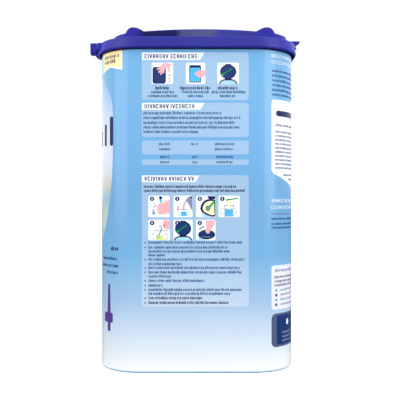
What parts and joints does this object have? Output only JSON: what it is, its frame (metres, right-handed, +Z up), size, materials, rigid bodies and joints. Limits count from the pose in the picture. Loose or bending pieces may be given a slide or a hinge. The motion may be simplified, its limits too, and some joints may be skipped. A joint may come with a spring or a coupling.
{
  "type": "toddler formula pack",
  "caption": "Shut flip-top plastic pack of milk powder: a square printed tub with round corners under a collar and a hinged lid with a thumb tab and stacking lugs",
  "frame": {"origin": "the middle of the tub's flat base, which is the bottom middle of the bounding box", "axes": "+Z up; the thumb tab points along -X and the hinge flange along +X, so the XZ plane is the plane of symmetry"},
  "size_m": [0.1266, 0.1158, 0.1948],
  "materials": {
    "tub_print": "light blue printed film, fading to white at the foot",
    "collar_plastic": "satin violet blue",
    "lid_plastic": "satin violet blue"
  },
  "bodies": {
    "root": {"tub": "tub_print", "collar": "collar_plastic", "lid": "lid_plastic"}
  },
  "joints": []
}
